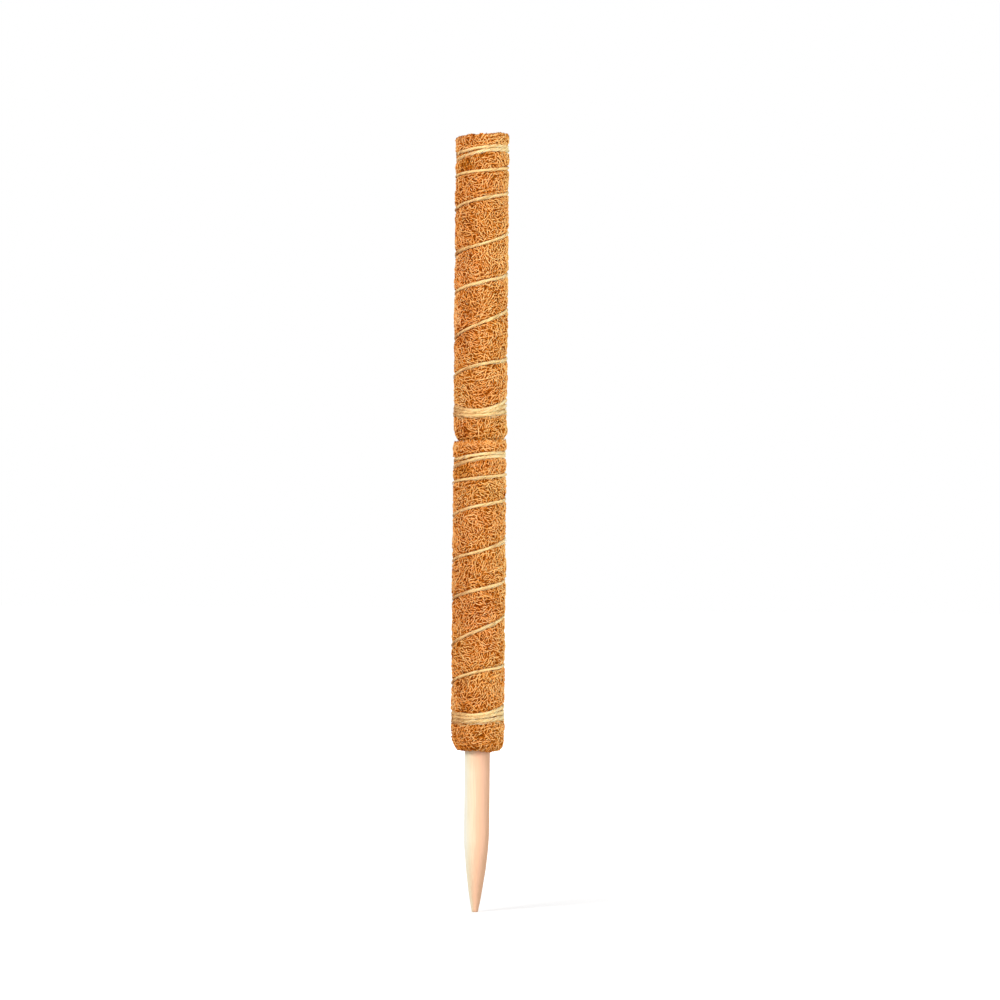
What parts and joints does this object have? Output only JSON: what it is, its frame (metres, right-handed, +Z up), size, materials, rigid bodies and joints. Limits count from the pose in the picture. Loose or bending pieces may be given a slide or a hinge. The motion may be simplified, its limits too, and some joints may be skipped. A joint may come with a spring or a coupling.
{
  "type": "moss pole",
  "caption": "Stackable coir moss pole on a pointed wooden stake, wound with jute twine; sections plug together to carry climbing plants.",
  "frame": {"origin": "centre of the lower stake's blunt tip", "axes": "+Z up along the pole, from the stake's tip to the open socket; the coir's seam faces +Y, so the front faces -Y"},
  "size_m": [0.0206, 0.0206, 0.3],
  "materials": {
    "wood": "pale turned softwood, unvarnished",
    "plastic": "plain grey-white pipe, satin",
    "coir": "matted coconut fibre",
    "jute": "pale spun jute"
  },
  "bodies": {
    "lower_pole": {"lower_stake": "wood", "lower_core_tube": "plastic", "lower_coir_mat": "coir", "lower_twine": "jute"},
    "upper_stake": {"upper_stake": "wood"},
    "upper_pole": {"upper_core_tube": "plastic", "upper_coir_mat": "coir", "upper_twine": "jute"}
  },
  "joints": [
    {"name": "upper_lift", "type": "slide", "parent": "lower_pole", "child": "upper_stake", "axis": [0, 0, 1], "range_m": [0, 0.065]},
    {"name": "upper_twist", "type": "hinge", "parent": "upper_stake", "child": "upper_pole", "pos_m": [0, 0, 0.1814], "axis": [0, 0, 1], "continuous": true}
  ]
}
